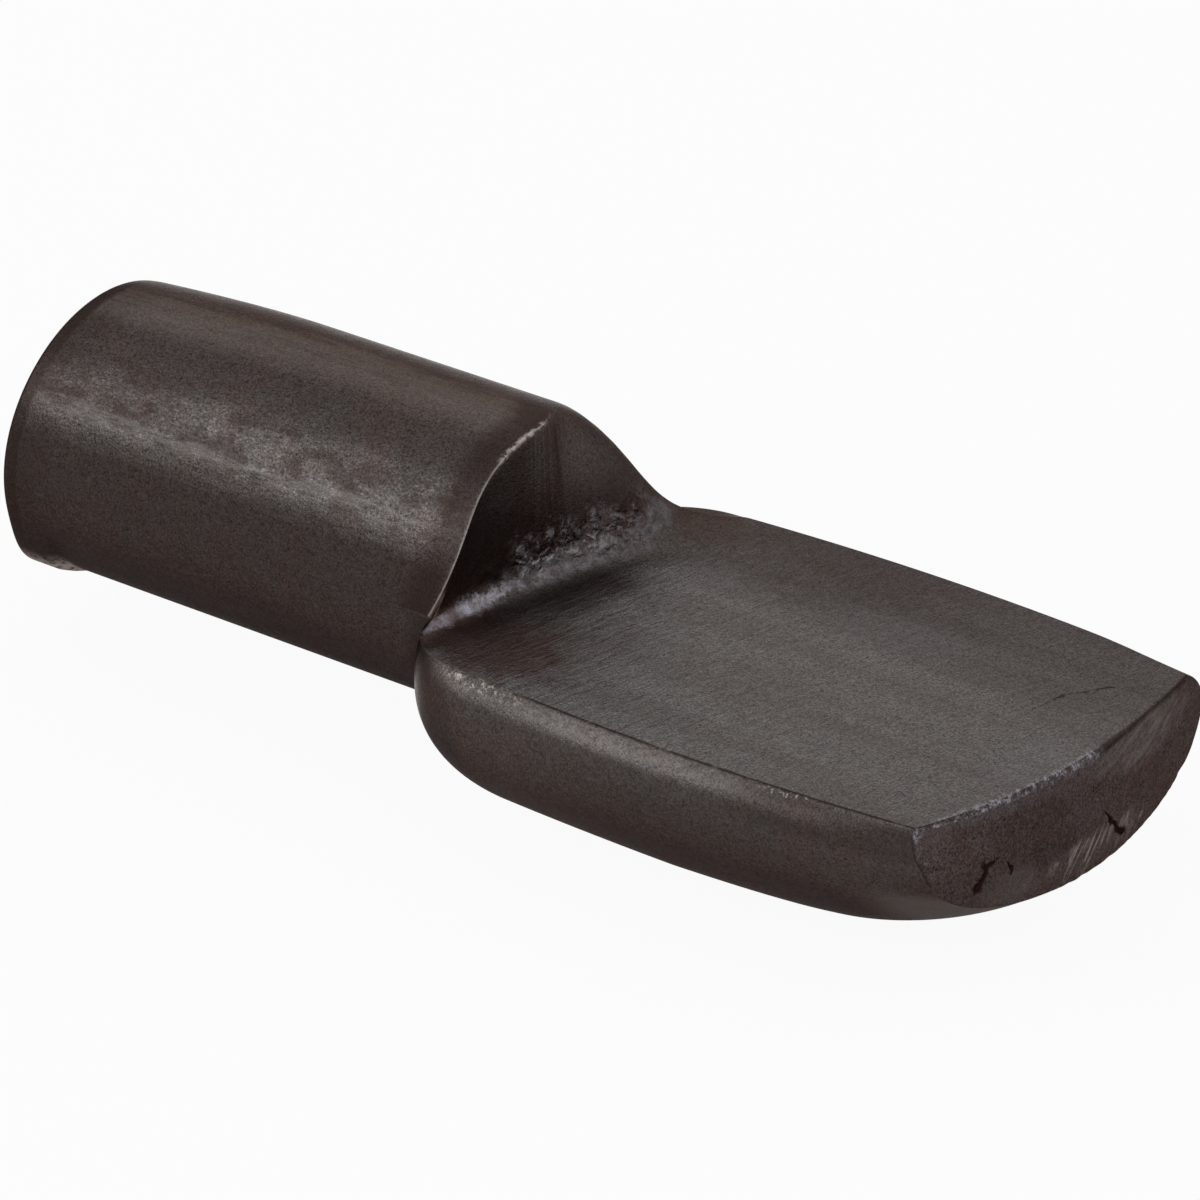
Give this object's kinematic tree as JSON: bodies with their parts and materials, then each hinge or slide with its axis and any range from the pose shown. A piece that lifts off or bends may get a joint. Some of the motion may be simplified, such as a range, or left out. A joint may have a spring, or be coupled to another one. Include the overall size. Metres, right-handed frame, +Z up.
{
  "type": "shelf support pin",
  "caption": "Spoon-type shelf support pin: a round steel plug for a cabinet-side hole, with its outer end pressed into a flat, barrel-shaped blade that carries the shelf.",
  "frame": {"origin": "on the plug's axis, in the plane where the pin starts to swell and stops against the cabinet side", "axes": "+X along the plug's axis out of the cabinet, towards the nose of the blade; +Z up, square to the shelf face; +Y across the blade"},
  "size_m": [0.025, 0.0098, 0.007],
  "materials": {
    "bronzed_steel": "dark bronze plating, worn on the edges, with a fine grain"
  },
  "bodies": {
    "root": {"shelf_pin": "bronzed_steel"}
  },
  "joints": []
}
